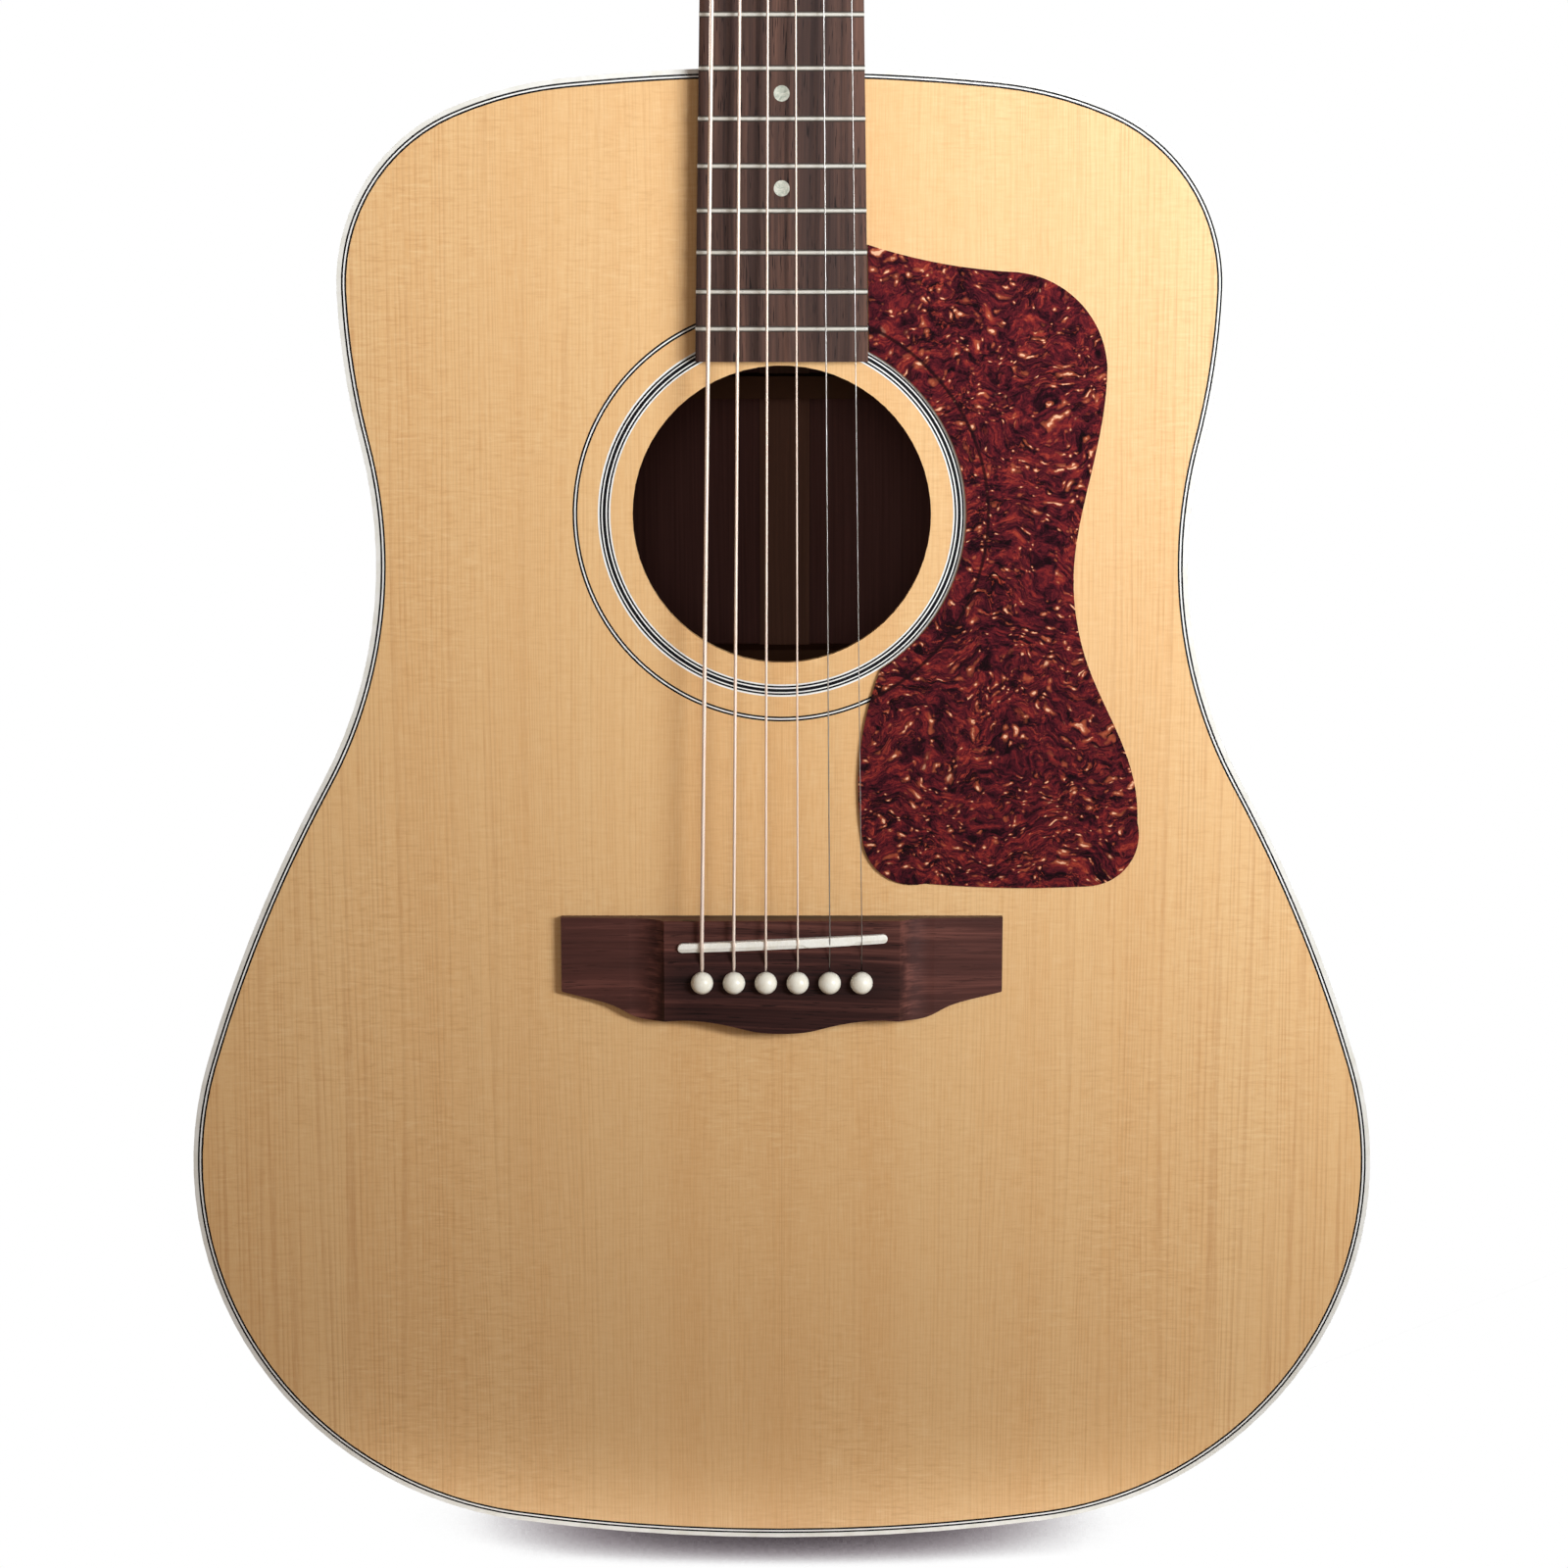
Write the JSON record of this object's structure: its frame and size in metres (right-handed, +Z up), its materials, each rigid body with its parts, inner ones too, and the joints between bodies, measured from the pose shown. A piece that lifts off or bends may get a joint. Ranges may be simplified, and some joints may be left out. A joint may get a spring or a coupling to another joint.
{
  "type": "acoustic guitar",
  "caption": "Steel-string acoustic guitar with a flat spruce top, round sound hole, pin bridge, tortoiseshell pickguard and fretted neck with geared tuners.",
  "frame": {"origin": "on the centre line at the front edge of the nut, in the plane of the soundboard face, where a hanger yoke takes the neck", "axes": "+Z up along the strings towards the headstock, -Y out of the soundboard towards the player's audience, +X towards the treble side"},
  "size_m": [0.4072, 0.1348, 1.0642],
  "materials": {
    "spruce": "satin lacquered pale spruce with fine straight grain",
    "inner_spruce": "bare spruce",
    "mahogany": "gloss dark red-brown mahogany",
    "neck_wood": "satin dark mahogany",
    "inner_wood": "bare mahogany and maple",
    "rosewood": "dark open-pored rosewood",
    "inlay": "black and white fibre lines under lacquer",
    "cream_plastic": "polished off-white binding",
    "black_plastic": "polished black",
    "bone": "polished cream",
    "pearl": "mother-of-pearl",
    "tortoiseshell": "polished mottled red-brown tortoiseshell",
    "nickel_silver": "polished nickel silver wire",
    "nickel_plate": "nickel plate",
    "steel": "plain steel bar",
    "brass": "machined brass",
    "plain_steel": "drawn steel wire",
    "wound_bronze": "bronze-wound steel wire",
    "tuner_button": "cream oval button on a nickel worm shaft"
  },
  "bodies": {
    "guitar": {"soundboard": "spruce", "rosette": "inlay", "top_purfling": "inlay", "top_binding": "cream_plastic", "back_plate": "mahogany", "back_binding": "cream_plastic", "side_bass": "mahogany", "side_treble": "mahogany", "end_graft": "rosewood", "neck_block": "inner_wood", "tail_block": "inner_wood", "top_linings": "inner_wood", "back_linings": "inner_wood", "x_braces": "inner_spruce", "top_braces": "inner_spruce", "back_braces": "inner_spruce", "back_centre_strip": "inner_spruce", "bridge": "rosewood", "saddle": "bone", "bridge_plate": "inner_wood", "fretboard": "rosewood", "frets": "nickel_silver", "position_dots": "pearl", "nut": "bone", "neck": "neck_wood", "heel_cap": "black_plastic", "headstock_overlay": "rosewood", "truss_rod": "steel", "truss_rod_cover": "black_plastic", "small_screws": "nickel_plate", "tuner_plates": "nickel_plate", "tuner_bushings": "nickel_plate", "pickguard": "tortoiseshell", "strap_button": "nickel_plate", "string_1": "plain_steel", "string_2": "plain_steel", "string_3": "wound_bronze", "string_4": "wound_bronze", "string_5": "wound_bronze", "string_6": "wound_bronze"},
    "tuner_key_1": {"tuner_key_1": "tuner_button"},
    "string_post_1": {"string_post_1": "nickel_plate"},
    "bridge_pin_1": {"bridge_pin_1": "bone"},
    "tuner_key_2": {"tuner_key_2": "tuner_button"},
    "string_post_2": {"string_post_2": "nickel_plate"},
    "bridge_pin_2": {"bridge_pin_2": "bone"},
    "tuner_key_3": {"tuner_key_3": "tuner_button"},
    "string_post_3": {"string_post_3": "nickel_plate"},
    "bridge_pin_3": {"bridge_pin_3": "bone"},
    "tuner_key_4": {"tuner_key_4": "tuner_button"},
    "string_post_4": {"string_post_4": "nickel_plate"},
    "bridge_pin_4": {"bridge_pin_4": "bone"},
    "tuner_key_5": {"tuner_key_5": "tuner_button"},
    "string_post_5": {"string_post_5": "nickel_plate"},
    "bridge_pin_5": {"bridge_pin_5": "bone"},
    "tuner_key_6": {"tuner_key_6": "tuner_button"},
    "string_post_6": {"string_post_6": "nickel_plate"},
    "bridge_pin_6": {"bridge_pin_6": "bone"},
    "truss_rod_nut": {"truss_rod_nut": "brass"}
  },
  "joints": [
    {"name": "tuner_key_1_turn", "type": "hinge", "parent": "guitar", "child": "tuner_key_1", "pos_m": [0.021, 0.03215, 0.05386], "axis": [1, 0, 0], "continuous": true},
    {"name": "string_post_1_turn", "type": "hinge", "parent": "guitar", "child": "string_post_1", "pos_m": [0.021, 0.01113, 0.05013], "axis": [0, -0.9703, 0.2419], "continuous": true},
    {"name": "bridge_pin_1_pull", "type": "slide", "parent": "guitar", "child": "bridge_pin_1", "axis": [0, -1, 0], "range_m": [0, 0.026]},
    {"name": "tuner_key_2_turn", "type": "hinge", "parent": "guitar", "child": "tuner_key_2", "pos_m": [0.0235, 0.04183, 0.09267], "axis": [1, 0, 0], "continuous": true},
    {"name": "string_post_2_turn", "type": "hinge", "parent": "guitar", "child": "string_post_2", "pos_m": [0.0235, 0.02081, 0.08894], "axis": [0, -0.9703, 0.2419], "continuous": true},
    {"name": "bridge_pin_2_pull", "type": "slide", "parent": "guitar", "child": "bridge_pin_2", "axis": [0, -1, 0], "range_m": [0, 0.026]},
    {"name": "tuner_key_3_turn", "type": "hinge", "parent": "guitar", "child": "tuner_key_3", "pos_m": [0.026, 0.05151, 0.13148], "axis": [1, 0, 0], "continuous": true},
    {"name": "string_post_3_turn", "type": "hinge", "parent": "guitar", "child": "string_post_3", "pos_m": [0.026, 0.03048, 0.12776], "axis": [0, -0.9703, 0.2419], "continuous": true},
    {"name": "bridge_pin_3_pull", "type": "slide", "parent": "guitar", "child": "bridge_pin_3", "axis": [0, -1, 0], "range_m": [0, 0.026]},
    {"name": "tuner_key_4_turn", "type": "hinge", "parent": "guitar", "child": "tuner_key_4", "pos_m": [-0.026, 0.05151, 0.13148], "axis": [-1, 0, 0], "continuous": true},
    {"name": "string_post_4_turn", "type": "hinge", "parent": "guitar", "child": "string_post_4", "pos_m": [-0.026, 0.03048, 0.12776], "axis": [0, -0.9703, 0.2419], "continuous": true},
    {"name": "bridge_pin_4_pull", "type": "slide", "parent": "guitar", "child": "bridge_pin_4", "axis": [0, -1, 0], "range_m": [0, 0.026]},
    {"name": "tuner_key_5_turn", "type": "hinge", "parent": "guitar", "child": "tuner_key_5", "pos_m": [-0.0235, 0.04183, 0.09267], "axis": [-1, 0, 0], "continuous": true},
    {"name": "string_post_5_turn", "type": "hinge", "parent": "guitar", "child": "string_post_5", "pos_m": [-0.0235, 0.02081, 0.08894], "axis": [0, -0.9703, 0.2419], "continuous": true},
    {"name": "bridge_pin_5_pull", "type": "slide", "parent": "guitar", "child": "bridge_pin_5", "axis": [0, -1, 0], "range_m": [0, 0.026]},
    {"name": "tuner_key_6_turn", "type": "hinge", "parent": "guitar", "child": "tuner_key_6", "pos_m": [-0.021, 0.03215, 0.05386], "axis": [-1, 0, 0], "continuous": true},
    {"name": "string_post_6_turn", "type": "hinge", "parent": "guitar", "child": "string_post_6", "pos_m": [-0.021, 0.01113, 0.05013], "axis": [0, -0.9703, 0.2419], "continuous": true},
    {"name": "bridge_pin_6_pull", "type": "slide", "parent": "guitar", "child": "bridge_pin_6", "axis": [0, -1, 0], "range_m": [0, 0.026]},
    {"name": "truss_rod_nut_turn", "type": "hinge", "parent": "guitar", "child": "truss_rod_nut", "pos_m": [0, 0.0085, 0.017], "axis": [0, 0, 1], "range_deg": [-180, 180]}
  ],
  "couplings": [
    {"joint": "string_post_1_turn", "follows": "tuner_key_1_turn", "ratio": -0.0625},
    {"joint": "string_post_2_turn", "follows": "tuner_key_2_turn", "ratio": -0.0625},
    {"joint": "string_post_3_turn", "follows": "tuner_key_3_turn", "ratio": -0.0625},
    {"joint": "string_post_4_turn", "follows": "tuner_key_4_turn", "ratio": 0.0625},
    {"joint": "string_post_5_turn", "follows": "tuner_key_5_turn", "ratio": 0.0625},
    {"joint": "string_post_6_turn", "follows": "tuner_key_6_turn", "ratio": 0.0625}
  ]
}
